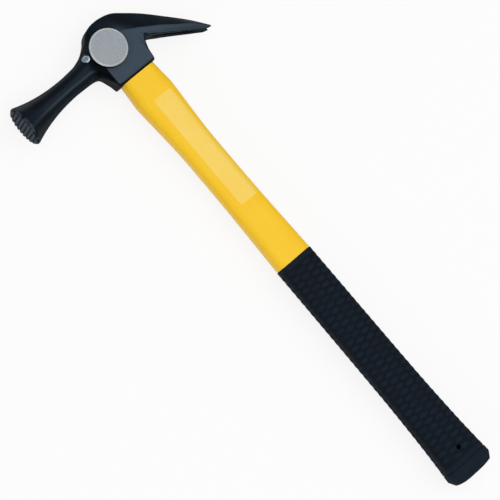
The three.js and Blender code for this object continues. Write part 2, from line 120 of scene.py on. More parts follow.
def loftObject(name, rings):
    # a closed skin over rings of equally many points; its "wrap" map runs along and round the skin
    size, last = len(rings[0]), len(rings) - 1
    points = [(x * mm, y * mm, midZ + z * mm) for ring in rings for x, y, z in ring]
    faces, wrap = [], []
    for row in range(last):
        for i in range(size):
            a, b = row * size + i, row * size + (i + 1) % size
            faces.append((a, b, b + size, a + size))
            wrap += [(row, i), (row, i + 1), (row + 1, i + 1), (row + 1, i)]
    faces.append(tuple(reversed(range(size))))
    faces.append(tuple(range(last * size, (last + 1) * size)))
    wrap += [(-1, -1)] * 2 * size
    mesh = bpy.data.meshes.new(name)
    mesh.from_pydata(points, [], faces)
    layer = mesh.uv_layers.new(name="wrap")
    for corner, (row, i) in zip(layer.data, wrap):
        corner.uv = (row / last, i / size)
    rework(mesh, lambda work: bmesh.ops.remove_doubles(work, verts=work.verts, dist=weld),
           lambda work: bmesh.ops.recalc_face_normals(work, faces=work.faces))
    return objectFrom(name, mesh)


def turnedObject(name, profile, centre, sides):
    # the profile is (radius, z) from one end of the axis to the other, about an axis across the cheeks
    turns = [2 * math.pi * i / sides for i in range(sides)]
    rings = []
    for radius, z in profile:
        rings.append([(centre[0] + radius * math.cos(turn), centre[1] + radius * math.sin(turn), z)
                      for turn in turns])
    return loftObject(name, rings)


def ovalRing(x, width, thickness, power, sides):
    bulge = lambda value: math.copysign(abs(value) ** (2 / power), value)
    ring = []
    for i in range(sides):
        angle = 2 * math.pi * i / sides
        ring.append((x, bulge(math.cos(angle)) * width / 2, bulge(math.sin(angle)) * thickness / 2))
    return ring


def ovalLoft(name, stations, shape):
    # the stations are (x, width, thickness), and the shape gives the ovals' power and sides
    return loftObject(name, [ovalRing(*station, shape["power"], shape["sides"]) for station in stations])


def evenRing(ring, sides):
    # the same outline with its points spaced evenly round it
    points = [Vector(point) for point in ring] + [Vector(ring[0])]
    reach = [0]
    for a, b in zip(points, points[1:]):
        reach.append(reach[-1] + (b - a).length)
    even, i = [], 0
    for k in range(sides):
        goal = reach[-1] * k / sides
        while reach[i + 1] < goal:
            i += 1
        even.append(points[i].lerp(points[i + 1], (goal - reach[i]) / (reach[i + 1] - reach[i])))
    return even


def bake(piece):
    # what the modifiers give becomes the mesh itself
    graph = bpy.context.evaluated_depsgraph_get()
    mesh = bpy.data.meshes.new_from_object(piece.evaluated_get(graph))
    piece.modifiers.clear()
    piece.data = mesh
    mesh.name = piece.name


def combine(piece, tool, operation):
    step = piece.modifiers.new("combine", "BOOLEAN")
    step.operation = operation
    step.solver = "EXACT"
    step.object = tool
    bake(piece)
    bpy.data.objects.remove(tool)


def smooth(piece, degrees=30):
    # folds away the slivers that cutting leaves and splits the faces with more than four corners;
    # edges that turn by more than these degrees stay crisp
    manyCornered = lambda work: [face for face in work.faces if len(face.verts) > 4]
    rework(piece.data, lambda work: bmesh.ops.dissolve_degenerate(work, dist=sliver, edges=work.edges),
           lambda work: bmesh.ops.triangulate(work, faces=manyCornered(work)))
    piece.data.shade_smooth()
    piece.data.set_sharp_from_angle(angle=math.radians(degrees))


def dress(piece, material, degrees=30):
    piece.data.materials.clear()
    piece.data.materials.append(material)
    smooth(piece, degrees)


def settle(piece, node):
    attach(piece, "root")
    if node:
        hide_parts(node)
    print(piece.name, "made with", len(piece.data.polygons), "faces")


# node trees

def makeTree(name, inputs):
    # a Geometry Nodes tree with a geometry in and out, and named inputs for its sizes
    tree = bpy.data.node_groups.new(name, "GeometryNodeTree")
    tree.interface.new_socket("Geometry", in_out="INPUT", socket_type="NodeSocketGeometry")
    tree.interface.new_socket("Geometry", in_out="OUTPUT", socket_type="NodeSocketGeometry")
    for label, kind in inputs.items():
        tree.interface.new_socket(label, in_out="INPUT", socket_type="NodeSocket" + kind)
    return tree, tree.nodes.new("NodeGroupInput").outputs


def feedNode(tree, node, feeds):
    # feeds maps an input's name or number to a socket, a list of sockets or a plain value
    for key, value in feeds.items():
        for source in value if isinstance(value, list) else [value]:
            if isinstance(source, bpy.types.NodeSocket):
                tree.links.new(source, node.inputs[key])
            else:
                node.inputs[key].default_value = source


def addNode(tree, kind, feeds=None, **settings):
    node = tree.nodes.new(kind)
    for key, value in settings.items():
        setattr(node, key, value)
    feedNode(tree, node, feeds or {})
    return node.outputs


def shapeNode(tree, kind, feeds=None, **settings):
    return addNode(tree, "GeometryNode" + kind, feeds, **settings)[0]


def mathNode(tree, operation, *values):
    return addNode(tree, "ShaderNodeMath", dict(enumerate(values)), operation=operation)[0]


def product(tree, first, *others):
    for other in others:
        first = mathNode(tree, "MULTIPLY", first, other)
    return first


def vectorNode(tree, x=0.0, y=0.0, z=0.0):
    return addNode(tree, "ShaderNodeCombineXYZ", {0: x, 1: y, 2: z})[0]


def endTree(tree, shape, material):
    plain = shapeNode(tree, "RealizeInstances", {0: shape})
    coated = shapeNode(tree, "SetMaterial", {"Geometry": plain, "Material": material})
    addNode(tree, "NodeGroupOutput", {0: coated})


def runTree(piece, tree, values):
    step = piece.modifiers.new(tree.name, "NODES")
    step.node_group = tree
    for item in tree.interface.items_tree:
        if item.in_out == "INPUT" and item.name in values:
            step[item.identifier] = values[item.name]
    bake(piece)


# material helpers

def makeMaterial(name):
    material = bpy.data.materials.new(name)
    material.use_nodes = True
    tree = material.node_tree
    return material, tree, addNode(tree, "ShaderNodeTexCoord")["Object"]


def noiseNode(tree, place, scale, detail):
    return addNode(tree, "ShaderNodeTexNoise", {"Vector": place, "Scale": scale, "Detail": detail})[0]


def stretched(tree, place, scale, turn=0.0):
    return addNode(tree, "ShaderNodeMapping", {"Vector": place, "Rotation": (0, 0, turn), "Scale": scale})[0]


def spread(tree, value, low, high, fromLow=0.3, fromHigh=0.7):
    # noise lies mostly between the limits that are given here
    feeds = {"Value": value, "From Min": fromLow, "From Max": fromHigh, "To Min": low, "To Max": high}
    return addNode(tree, "ShaderNodeMapRange", feeds, interpolation_type="SMOOTHSTEP")[0]


def blend(tree, value, span):
    # 0 before the span, 1 after it
    return spread(tree, value, 0, 1, *span)


def mixColour(tree, factor, first, second):
    return addNode(tree, "ShaderNodeMix", {0: factor, 6: first, 7: second}, data_type="RGBA")[2]


def mottled(tree, noise, first, second):
    return mixColour(tree, spread(tree, noise, 0, 1), first, second)


def mixNumber(tree, factor, first, second):
    return addNode(tree, "ShaderNodeMix", {0: factor, 2: first, 3: second})[0]


def bumpNode(tree, height, strength, depth):
    feeds = {"Height": height, "Strength": strength, "Distance": depth * mm}
    return addNode(tree, "ShaderNodeBump", feeds)["Normal"]


def feedShader(material, feeds):
    tree = material.node_tree
    feedNode(tree, tree.nodes["Principled BSDF"], feeds)
    return material


def finishMaterial(material, look, colour, rub, height):
    # roughness follows rub, and the surface rises and falls with height
    tree = material.node_tree
    return feedShader(material, {
        "Base Color": colour, "Roughness": spread(tree, rub, *look["roughness"]),
        "Normal": bumpNode(tree, height, *look["bump"]), "Metallic": look.get("metallic", 0.0),
        "Specular IOR Level": look.get("specular", 0.5)})


def screen(red, green, blue):
    # a colour as it looks on screen, 0 to 255, on the shader's own scale
    def one(value):
        share = value / 255
        return share / 12.92 if share <= 0.04045 else ((share + 0.055) / 1.055) ** 2.4
    return (one(red), one(green), one(blue), 1)


# looks: a noise is its scale and detail, or its scale along the axes; a bump is its strength and depth in mm

# black paint: glossy on the neck and the crown, satin on the flat cheeks with a lighter colour that is
# partly painted sheen, lighter along the block's sharp edges, with painted shade at the root of the neck;
# unevenness is added to the roughness, and its other pairs are where a change starts and ends, with places
# in metres and slopes as parts of the normal

blackPaintLook = {
    "deep": screen(7, 13, 20), "thin": screen(12, 20, 29), "cheek": screen(59, 71, 84),
    "paleEdge": screen(78, 89, 100), "paintedRootShade": screen(3, 4, 6), "wornFace": screen(64, 72, 80),
    "glossRoughness": 0.32, "cheekRoughness": 0.5, "wallRoughness": 0.56, "unevenness": (-0.04, 0.06),
    "specular": 0.15, "wallSpecular": 0.04, "shineSpecular": 0.42, "shineTilt": 0.27, "shineWidth": 0.17,
    "tint": (0.62, 0.82, 1, 1), "crownSatinAndSheen": 0.15, "clawSatinAndSheen": 0.72, "bevelSheen": 0.5, "cheekGrain": 1.4,
    "cheekFlat": (0.93, 0.995), "wallUpright": (0.35, 0.75), "edgeSharp": (0.52, 0.6),
    "neckToCheek": (-0.0188, -0.0176), "crownToCheek": (-0.015, -0.003), "cheekToClaw": (0.03, 0.058),
    "slotWall": (0.006, 0.0066), "clawBevel": (0.022, 0.026), "blockEnd": (0.02, 0.026),
    "neckToRoot": (-0.031, -0.024), "rootTop": (-0.006, 0), "rootEnd": (-0.017, -0.012),
    "faceDepth": (0.0002, 0.0009), "breakupSpan": (0.42, 0.62), "breakupShare": 0.8, "grainShare": 0.82,
    "cloud": (55, 4), "grain": (900, 3), "peel": (420, 2), "edgeBreakup": (260, 5), "bump": (0.22, 0.05),
}


def blackPaint():
    look = blackPaintLook
    material, tree, place = makeMaterial("blackPaint")
    shape = addNode(tree, "ShaderNodeNewGeometry")
    facing = addNode(tree, "ShaderNodeSeparateXYZ", {0: shape["Normal"]})
    upright = mathNode(tree, "ABSOLUTE", facing[2])
    at = addNode(tree, "ShaderNodeSeparateXYZ", {0: place})
    aside = mathNode(tree, "ABSOLUTE", mathNode(tree, "SUBTRACT", at[2], midZ))
    cloud, grain, peel, edgeBreakup = (
        noiseNode(tree, place, *look[key]) for key in ("cloud", "grain", "peel", "edgeBreakup"))
    # where the paint is satin and lighter: the flat cheeks, partly real satin and partly painted sheen, and
    # the bevel under the claw, whose lighter colour on the faces turned towards the handle is painted sheen
    bevel = product(tree, mathNode(tree, "MAXIMUM", facing[0], 0.0),
                    spread(tree, at[1], 0, look["bevelSheen"], *look["clawBevel"]))
    cheek = product(tree, blend(tree, mathNode(tree, "ADD", upright, bevel), look["cheekFlat"]),
                    blend(tree, at[1], look["neckToCheek"]),
                    spread(tree, at[0], look["crownSatinAndSheen"], 1, *look["crownToCheek"]),
                    blend(tree, aside, look["slotWall"]),
                    spread(tree, at[1], 1, look["clawSatinAndSheen"], *look["cheekToClaw"]))
    # lighter sharp edges of the block, painted shade on the root of the neck, which is also less glossy
    # there, the line of shine along the neck and the worn face
    edge = product(tree, blend(tree, shape["Pointiness"], look["edgeSharp"]),
                   spread(tree, edgeBreakup, 0, look["breakupShare"], *look["breakupSpan"]),
                   spread(tree, at[1], 1, 0, *look["blockEnd"]))
    # painted shade: the root of the neck beside the block, off the cheeks, is darker and less glossy
    root = product(tree, blend(tree, at[1], look["neckToRoot"]), mathNode(tree, "SUBTRACT", 1.0, cheek),
                   blend(tree, at[0], look["rootTop"]), spread(tree, at[1], 1, 0, *look["rootEnd"]))
    offLine = mathNode(tree, "ABSOLUTE", mathNode(tree, "SUBTRACT", facing[0], look["shineTilt"]))
    shine = product(tree, spread(tree, offLine, 1, 0, 0, look["shineWidth"]),
                    spread(tree, at[1], 1, 0, *look["neckToRoot"]))
    worn = spread(tree, at[1], 1, 0, *(headLow.y + depth for depth in look["faceDepth"]))
    colour = mottled(tree, cloud, look["deep"], look["thin"])
    # the lighter cheek colour is partly satin finish and partly painted sheen
    satinAndSheen = product(tree, cheek, spread(tree, grain, look["grainShare"], 1))
    colour = mixColour(tree, satinAndSheen, colour, look["cheek"])
    for mask, paint in ((edge, "paleEdge"), (root, "paintedRootShade"), (worn, "wornFace")):
        colour = mixColour(tree, mask, colour, look[paint])
    level = blend(tree, upright, look["wallUpright"])
    rough = mixNumber(tree, level, look["wallRoughness"], look["glossRoughness"])
    rough = mixNumber(tree, cheek, rough, look["cheekRoughness"])
    rough = mathNode(tree, "ADD", rough, spread(tree, cloud, *look["unevenness"]))
    gloss = mixNumber(tree, root, look["specular"], look["wallSpecular"])
    gloss = mixNumber(tree, level, look["wallSpecular"], gloss)
    gloss = mixNumber(tree, shine, gloss, look["shineSpecular"])
    height = mathNode(tree, "MULTIPLY_ADD", grain, product(tree, cheek, look["cheekGrain"]), peel)
    return feedShader(material, {
        "Base Color": colour, "Roughness": rough, "Normal": bumpNode(tree, height, *look["bump"]),
        "Specular IOR Level": gloss, "Specular Tint": look["tint"]})


# ground steel of the bosses: fine straight scratches over a faint mottle, with a brighter chamfer whose
# colour is a painted highlight

groundSteelLook = {
    "light": screen(149, 155, 160), "dark": screen(130, 136, 141), "rim": screen(205, 211, 215),
    "metallic": 1.0, "roughness": (0.46, 0.56), "bump": (0.25, 0.03), "scratch": (160, 3600, 160),
    "mottle": (1100, 4), "grinding": math.radians(38), "scratchShare": 0.4, "change": (0.38, 0.62),
    "rimFade": 0.3,
}


def groundSteel():
    look = groundSteelLook
    material, tree, place = makeMaterial("groundSteel")
    scratch = noiseNode(tree, stretched(tree, place, look["scratch"], look["grinding"]), 1, 4)
    mottle = noiseNode(tree, place, *look["mottle"])
    both = mixNumber(tree, look["scratchShare"], mottle, scratch)
    level = addNode(tree, "ShaderNodeVectorMath", {0: place, 1: (1, 1, 0)}, operation="MULTIPLY")[0]
    centre = (0, -boss["offset"] * mm, 0)
    fromAxis = addNode(tree, "ShaderNodeVectorMath", {0: level, 1: centre}, operation="DISTANCE")["Value"]
    flatEnd = boss["diameter"] / 2 - boss["chamfer"]
    # painted highlight: the chamfer gets a brighter colour
    rim = blend(tree, fromAxis, ((flatEnd - look["rimFade"]) * mm, flatEnd * mm))
    colour = mixColour(tree, blend(tree, both, look["change"]), look["dark"], look["light"])
    colour = mixColour(tree, rim, colour, look["rim"])
    return finishMaterial(material, look, colour, both, both)


yellowLook = {
    "main": screen(249, 202, 32), "deep": screen(248, 196, 22), "roughness": (0.36, 0.46), "specular": 0.25,
    "bump": (0.12, 0.03), "cloud": (22, 4), "skin": (1500, 2), "flow": (12, 220, 220), "flowShare": 0.4,
}


def yellowPlastic():
    look = yellowLook
    material, tree, place = makeMaterial("yellowPlastic")
    cloud, skin = (noiseNode(tree, place, *look[key]) for key in ("cloud", "skin"))
    flow = noiseNode(tree, stretched(tree, place, look["flow"]), 1, 3)      # faint, along the handle
    colour = mottled(tree, mixNumber(tree, look["flowShare"], cloud, flow), look["main"], look["deep"])
    return finishMaterial(material, look, colour, flow, skin)


filmLook = {
    "main": screen(246, 208, 84), "thick": screen(246, 205, 70), "roughness": (0.2, 0.3), "specular": 0.45,
    "bump": (0.2, 0.02), "cloud": (60, 4), "ripple": (90, 400, 400),
}


def clearFilm():
    look = filmLook
    material, tree, place = makeMaterial("clearFilm")
    cloud = noiseNode(tree, place, *look["cloud"])
    ripple = noiseNode(tree, stretched(tree, place, look["ripple"]), 1, 2)
    colour = mottled(tree, cloud, look["main"], look["thick"])
    return finishMaterial(material, look, colour, cloud, ripple)


rubberLook = {
    "groove": screen(17, 24, 32), "main": screen(20, 28, 37), "dusty": screen(25, 34, 44), "specular": 0.06,
    "roughness": (0.72, 0.86), "bump": (0.35, 0.05), "cloud": (80, 5), "grain": (2600, 3), "wall": (0, 0.8),
}


def gripRubber():
    look = rubberLook
    material, tree, place = makeMaterial("gripRubber")
    cloud, grain = (noiseNode(tree, place, *look[key]) for key in ("cloud", "grain"))
    # 1 on the tops of the bars and on the smooth ends, 0 between the bars, where the darker groove colour is
    # painted shade
    raised = addNode(tree, "ShaderNodeAttribute", attribute_name="raised")["Fac"]
    colour = mottled(tree, cloud, look["main"], look["dusty"])
    # painted shade: the darker groove colour lies between the bars
    colour = mixColour(tree, blend(tree, raised, look["wall"]), look["groove"], colour)
    return finishMaterial(material, look, colour, cloud, grain)


magnetLook = {
    "light": screen(206, 222, 238), "dark": screen(138, 156, 172), "roughness": (0.24, 0.42),
    "metallic": 1.0, "bump": (0.3, 0.1), "cloud": (700, 4),
}


def platedMagnet():
    look = magnetLook
    material, tree, place = makeMaterial("platedMagnet")
    cloud = noiseNode(tree, place, *look["cloud"])
    colour = mottled(tree, cloud, look["dark"], look["light"])
    return finishMaterial(material, look, colour, cloud, cloud)


resinLook = {
    "clear": screen(150, 124, 58), "cloudy": screen(176, 152, 88), "roughness": (0.22, 0.42),
    "bump": (0.4, 0.3), "cloud": (240, 4),
}


def castResin():
    look = resinLook
    material, tree, place = makeMaterial("castResin")
    cloud = noiseNode(tree, place, *look["cloud"])
    colour = mottled(tree, cloud, look["clear"], look["cloudy"])
    return finishMaterial(material, look, colour, cloud, cloud)


fibreLook = {
    "strand": screen(196, 186, 150), "binder": screen(232, 226, 200), "roughness": (0.45, 0.65),
    "bump": (0.3, 0.05), "run": (20, 1600, 1600),
}


def glassFibre():
    look = fibreLook
    material, tree, place = makeMaterial("glassFibre")
    strand = noiseNode(tree, stretched(tree, place, look["run"]), 1, 3)
    colour = mixColour(tree, strand, look["strand"], look["binder"])
    return finishMaterial(material, look, colour, strand, strand)


# head: reaches from the handle's axis, drops and depths from the bosses' centre towards the butt

head = {
    "faceReach": -headLow.y / mm, "clawReach": headHigh.y / mm, "crownHeight": 22.7, "clawDrop": 34,
    "faceDiameter": 33, "rimChamfer": 1.9, "rimBand": 3, "neckDiameter": 17.3, "neckWaist": 46,
    "bellPower": 2.2, "neckDrop": 1.5, "faceDrop": 5.5, "socketFront": 18, "socketRear": 16.2,
    "crotchReach": 22.7, "crotchDepth": 11, "crownWidth": 17.6, "socketSpan": 21, "cheekSpan": 26,
    "clawTipWidth": 14, "clawTipThickness": 2, "clawHollow": 0.8, "forgedEdge": 1.8, "clawEdge": 0.9,
    "cornerSteps": 9, "bellSteps": 48, "rootSteps": 70, "eyeSteps": 48, "crotchSteps": 36, "clawSteps": 60,
}
boss = {"diameter": 30, "span": (headHigh.z - headLow.z) / mm, "offset": 7.5, "chamfer": 0.9, "sides": 144,
        "groundTilt": 0.5}
slot = {"length": 42, "rootWidth": 5, "mouthWidth": 9.6, "bevel": 1.1, "flare": 0.7, "flareRun": 9,
        "rootArc": 16}
milling = {"rows": 10, "pitch": 3.4, "depth": 1.1, "flat": 1.3, "crossLift": 0.08}
eye = {"coreWidth": 18, "coreThickness": 10, "crownGrowth": 4.2, "socketGrowth": 2.4, "power": 2.5,
       "sides": 96, "resinInset": 0.4}
magnet = {"inset": 0.6, "sides": 64}
octagonSide = math.tan(math.pi / 8)      # half side of an octagon of unit inner radius


def neckAxis(y):
    return head["neckDrop"] + (-y / head["faceReach"]) * (head["faceDrop"] - head["neckDrop"])


def headLines():
    # each line gives, at a distance y from the handle's axis, where an edge of the section runs
    waist, front, rear = head["neckWaist"], head["socketFront"], head["socketRear"]
    crotch, reach = head["crotchReach"], head["clawReach"]
    rootAt, eyeAt = between(-waist, -front), between(-front, rear)
    crotchAt, clawAt = between(rear, crotch), between(crotch, reach)
    radius = head["neckDiameter"] / 2
    neckTop, neckUnder, flat = neckAxis(-waist) - radius, neckAxis(-waist) + radius, radius * octagonSide
    crown, depth, thin = -head["crownHeight"], head["crotchDepth"], head["clawTipThickness"]
    tip, tipUnder = head["clawDrop"], head["clawDrop"] + thin
    cheek, wall, top, tipHalf = (
        head[key] / 2 for key in ("cheekSpan", "socketSpan", "crownWidth", "clawTipWidth"))
    edge = head["forgedEdge"]
    edges = {
        "top": [
            (-waist, neckTop), (rootAt(0.36), neckTop - 0.9), (rootAt(0.55), neckTop - 2.3),
            (rootAt(0.73), neckTop - 4.3), (rootAt(0.89), crown + 10.4), (eyeAt(0.025), crown + 7.4),
            (eyeAt(0.12), crown + 3.9), (eyeAt(0.25), crown + 1.4), (eyeAt(0.425), crown + 0.1),
            (eyeAt(0.54), crown), (eyeAt(0.66), crown + 0.4), (eyeAt(0.9), crown + 2.4), (crotch, -13.6),
            (clawAt(0.25), -3.8), (clawAt(0.5), 7.6), (clawAt(0.78), 21.2), (reach, tip)],
        "under": [
            (-waist, neckUnder), (rootAt(0.36), neckUnder + 0.1), (rootAt(0.57), neckUnder + 0.4),
            (rootAt(0.71), neckUnder + 1.2), (rootAt(0.78), neckUnder + 2.4),
            (rootAt(0.84), neckUnder + 4.8), (rootAt(0.9), neckUnder + 8.6),
            (rootAt(0.954), socketDepth - 4.5), (-front, socketDepth), (rear, socketDepth),
            (crotchAt(0.12), socketDepth - 1.4), (crotchAt(0.23), socketDepth - 8),
            (crotchAt(0.36), depth + 6.6), (crotchAt(0.63), depth + 2.1), (crotch, depth),
            (clawAt(0.25), 16.4), (clawAt(0.43), 21.3), (clawAt(0.78), 31.2), (clawAt(0.93), 35.2),
            (reach, tipUnder)],
        "ridge": [
            (-waist, neckAxis(-waist) - flat), (rootAt(0.57), -2), (rootAt(0.86), -5.2), (eyeAt(0.12), -9),
            (eyeAt(0.36), -8.6), (eyeAt(0.78), -3.4), (crotch, 3.6), (clawAt(0.25), 9.4),
            (clawAt(0.52), 17.6), (clawAt(0.78), 25.2), (reach, tip + thin * 0.5)],
        "low": [
            (-waist, neckAxis(-waist) + flat), (rootAt(0.57), 7.4), (rootAt(0.79), 10), (rootAt(0.93), 18),
            (-front, socketDepth - 2.4), (rear, socketDepth - 2.4), (crotchAt(0.23), socketDepth - 10),
            (crotchAt(0.36), depth + 4), (crotchAt(0.63), depth - 0.6), (crotch, depth - 2.4),
            (clawAt(0.25), 13.4), (clawAt(0.43), 18), (clawAt(0.78), 28.6), (clawAt(0.93), 33.4),
            (reach, tip + thin * 0.8)],
        "topHalf": [
            (-waist, flat), (rootAt(0.57), flat + 0.8), (rootAt(0.86), flat + 2.6), (eyeAt(0.12), top - 0.2),
            (eyeAt(0.36), top), (eyeAt(0.72), top), (crotchAt(0.08), top - 1.5), (clawAt(0.12), top - 2),
            (clawAt(0.52), top - 3), (reach, tipHalf - 1.2)],
        "ridgeHalf": [
            (-waist, radius), (rootAt(0.36), radius + 0.5), (rootAt(0.57), radius + 1.7),
            (rootAt(0.75), cheek - 2), (rootAt(0.96), cheek - 0.6), (eyeAt(0.18), cheek), (crotch, cheek),
            (clawAt(0.25), cheek - 1.4), (clawAt(0.78), tipHalf + 2), (reach, tipHalf)],
        "lowHalf": [
            (-waist, radius), (rootAt(0.36), radius + 0.4), (rootAt(0.57), radius + 1.4),
            (rootAt(0.75), wall - 0.4), (-front, wall), (rear, wall), (crotchAt(0.63), cheek - 1.2),
            (crotch, cheek - 0.5), (clawAt(0.25), cheek - 1.6), (clawAt(0.78), tipHalf + 1.9),
            (reach, tipHalf - 0.1)],
        "underHalf": [
            (-waist, flat), (rootAt(0.57), flat + 1), (rootAt(0.75), flat + 2.2), (rootAt(0.89), wall - 2.5),
            (-front, wall - 0.8), (rear, wall - 0.8), (crotchAt(0.63), cheek - 2.6), (crotch, cheek - 3),
            (clawAt(0.25), cheek - 4.6), (clawAt(0.78), tipHalf - 0.2), (reach, tipHalf - 1.4)],
        "edge": [
            (-waist, flat), (rootAt(0.57), 2 * edge), (rootAt(0.86), 1.5 * edge), (-front, edge),
            (crotch, edge), (clawAt(0.25), head["clawEdge"]), (reach, thin * 0.3)],
    }
    return {key: lineThrough(points) for key, points in edges.items()}


def roundedRing(y, low, under, ridge, top, edge):
    # a section that is the same on both cheeks, with its eight corners rounded over the given length
    flip = lambda corner: (corner[0], -corner[1])
    corners = [low, under, flip(under), flip(low), flip(ridge), flip(top), top, ridge]
    corners = [Vector(corner) for corner in corners]
    count = head["cornerSteps"]
    ring = []
    for i, corner in enumerate(corners):
        start, end = (corner.lerp(other, min(edge / (other - corner).length, 0.5))
                      for other in (corners[i - 1], corners[(i + 1) % 8]))
        for k in range(count):
            t = (k + 0.5) / count
            point = start * (1 - t) ** 2 + corner * 2 * t * (1 - t) + end * t * t
            ring.append((point.x, y, point.y))
    return ring


def headForging(lines):
    # bell, neck, eye block and claw in one loft along the head's axis
    reach, waist = head["faceReach"], head["neckWaist"]
    faceRadius, neckRadius = head["faceDiameter"] / 2, head["neckDiameter"] / 2
    bandEnd = -reach + head["rimBand"]
    rings = []

    def roundAt(y, radius):
        axis, side = neckAxis(y), radius * octagonSide
        rings.append(roundedRing(y, (axis + side, radius), (axis + radius, side), (axis - side, radius),
                                 (axis - radius, side), radius))
    roundAt(-reach, faceRadius - head["rimChamfer"])
    roundAt(-reach + head["rimChamfer"], faceRadius)
    for y in steps(bandEnd, -waist, head["bellSteps"]):
        flare = (-y - waist) / (-bandEnd - waist)
        roundAt(y, neckRadius + (faceRadius - neckRadius) * flare ** head["bellPower"])
    front, rear = head["socketFront"], head["socketRear"]
    crotch, tip = head["crotchReach"], head["clawReach"]
    stations = steps(-waist, -front, head["rootSteps"]) + steps(-front, rear, head["eyeSteps"])
    stations += steps(rear, crotch, head["crotchSteps"]) + steps(crotch, tip, head["clawSteps"]) + [tip]
    for y in stations:
        at = {key: line(y) for key, line in lines.items()}
        rings.append(roundedRing(y, (at["low"], at["lowHalf"]), (at["under"], at["underHalf"]),
                                 (at["ridge"], at["ridgeHalf"]), (at["top"], at["topHalf"]), at["edge"]))
    return loftObject("hammerHead", rings)


def clawTrough(lines):
    # what is dished out of the claw's underside, shallow at its root and at the tips
    clawAt = between(head["crotchReach"], head["clawReach"])
    hollow, thin = head["clawHollow"], head["clawTipThickness"]
    startY, endY = between(head["socketRear"], head["crotchReach"])(0.6), head["clawReach"] + thin
    depth = lineThrough([(startY, -thin), (head["crotchReach"], hollow * 0.6), (clawAt(0.15), hollow),
                         (clawAt(0.5), hollow), (head["clawReach"], thin * 0.3)])
    long, across = 40, 20
    rings = []
    for y in steps(startY, endY, long) + [endY]:
        half, under = lines["underHalf"](y) - head["clawEdge"], lines["under"](y)
        ring = []
        for i in range(across + 1):
            side = 1 - 2 * i / across
            ring.append((under - depth(y) * (1 - side * side), y, side * half))
        clear = under + hollow + 2 * thin
        rings.append(ring + [(clear, y, -half), (clear, y, half)])
    return loftObject("clawTrough", rings)


def bossBar():
    # both bosses as one turned bar across the cheeks, with a chamfered rim at each end
    radius, half, chamfer = boss["diameter"] / 2, boss["span"] / 2, boss["chamfer"]
    profile = [(radius - chamfer, -half), (radius, -half + chamfer),
               (radius, half - chamfer), (radius - chamfer, half)]
    return turnedObject("bossBar", profile, (0, -boss["offset"]), boss["sides"])


def nailSlot(lines):
    # a round-ended wedge that opens towards the tips and towards the top of the claw
    aimY = between(head["crotchReach"], head["clawReach"])(0.13)
    aim = Vector(((lines["top"](aimY) + lines["under"](aimY)) / 2, aimY))
    tip = Vector((head["clawDrop"], head["clawReach"]))
    along = (tip - aim).normalized()
    overrun, deep, thin = slot["mouthWidth"], head["crownHeight"], head["clawTipThickness"]
    rings = []
    for height, widen in ((-deep, 0), (-2 * thin, 0), (4 * thin, slot["bevel"]), (deep, slot["bevel"])):
        rootHalf, mouthHalf = slot["rootWidth"] / 2 + widen, slot["mouthWidth"] / 2 + widen
        outline = []
        for i in range(slot["rootArc"] + 1):
            angle = math.pi * i / slot["rootArc"]
            outline.append((-slot["length"] - rootHalf * math.sin(angle), -rootHalf * math.cos(angle)))
        run, wide = slot["flareRun"], mouthHalf + slot["flare"]
        start = between(mouthHalf, rootHalf)(run / slot["length"])
        outline += [(-run, start), (0, wide), (overrun, wide), (overrun, -wide), (0, -wide), (-run, -start)]
        rings.append([(tip.x + along.x * far - along.y * height, tip.y + along.y * far + along.x * height, z)
                      for far, z in outline])
    return loftObject("nailSlot", rings)


def eyeFill(name, less, startX, endX):
    stations = []
    for x in (startX, endX):
        share = (x + head["crownHeight"]) / (socketDepth + head["crownHeight"])
        growth = between(eye["crownGrowth"], eye["socketGrowth"])(share) - 2 * less
        stations.append((x, eye["coreWidth"] + growth, eye["coreThickness"] + growth))
    return ovalLoft(name, stations, eye)


def coreBar(startX, endX):
    size = eye["coreWidth"] + 2 * fitGap, eye["coreThickness"] + 2 * fitGap
    return ovalLoft("coreBar", [(x, *size) for x in (startX, endX)], eye)


def magnetBar(name, extra):
    centre, radius = (magnetLow + magnetHigh) / 2 / mm, (magnetHigh.x - magnetLow.x) / 2 / mm + extra
    profile = [(radius, -boss["span"]), (radius, boss["span"])]
    return turnedObject(name, profile, (centre.x, centre.y), magnet["sides"])


def millingTree():
    # crossed rows of V grooves, cut into the geometry that comes in
    tree, given = makeTree("milledFace", {
        "Rows": "Int", "Pitch": "Float", "Depth": "Float", "Half Width": "Float", "Cross Lift": "Float",
        "Face Centre": "Vector", "Material": "Material"})
    overlap = 1.5                        # the grooves' bars stand this much out of the face
    diagonal = math.sqrt(2) * overlap
    length = product(tree, given["Pitch"], mathNode(tree, "ADD", given["Rows"], 1.0))
    bar = shapeNode(tree, "MeshCube", {"Size": (1, 1, 1)})
    bar = shapeNode(tree, "Transform", {"Geometry": bar, "Rotation": (0, 0, math.pi / 4)})
    size = vectorNode(tree, product(tree, given["Half Width"], diagonal),
                      product(tree, given["Depth"], diagonal), length)
    lift = vectorNode(tree, 0.0, product(tree, given["Depth"], 1 - overlap))
    bar = shapeNode(tree, "Transform", {"Geometry": bar, "Scale": size, "Translation": lift})
    first = product(tree, given["Pitch"], mathNode(tree, "MULTIPLY_ADD", given["Rows"], -0.5, 0.5))
    row = shapeNode(tree, "MeshLine", {
        "Count": given["Rows"], "Start Location": vectorNode(tree, first),
        "Offset": vectorNode(tree, given["Pitch"])})
    bars = shapeNode(tree, "InstanceOnPoints", {"Points": row, "Instance": bar})
    sink = vectorNode(tree, 0.0, product(tree, given["Cross Lift"], -1.0))
    crossed = shapeNode(tree, "Transform", {
        "Geometry": bars, "Rotation": (0, math.pi / 2, 0), "Translation": sink})
    both = shapeNode(tree, "JoinGeometry", {0: [bars, crossed]})
    both = shapeNode(tree, "Transform", {"Geometry": both, "Translation": given["Face Centre"]})
    cutter = shapeNode(tree, "RealizeInstances", {0: both})
    milled = shapeNode(tree, "MeshBoolean", {
        "Mesh 1": given["Geometry"], "Mesh 2": cutter, "Self Intersection": True},
        operation="DIFFERENCE", solver="EXACT")
    endTree(tree, milled, given["Material"])
    return tree


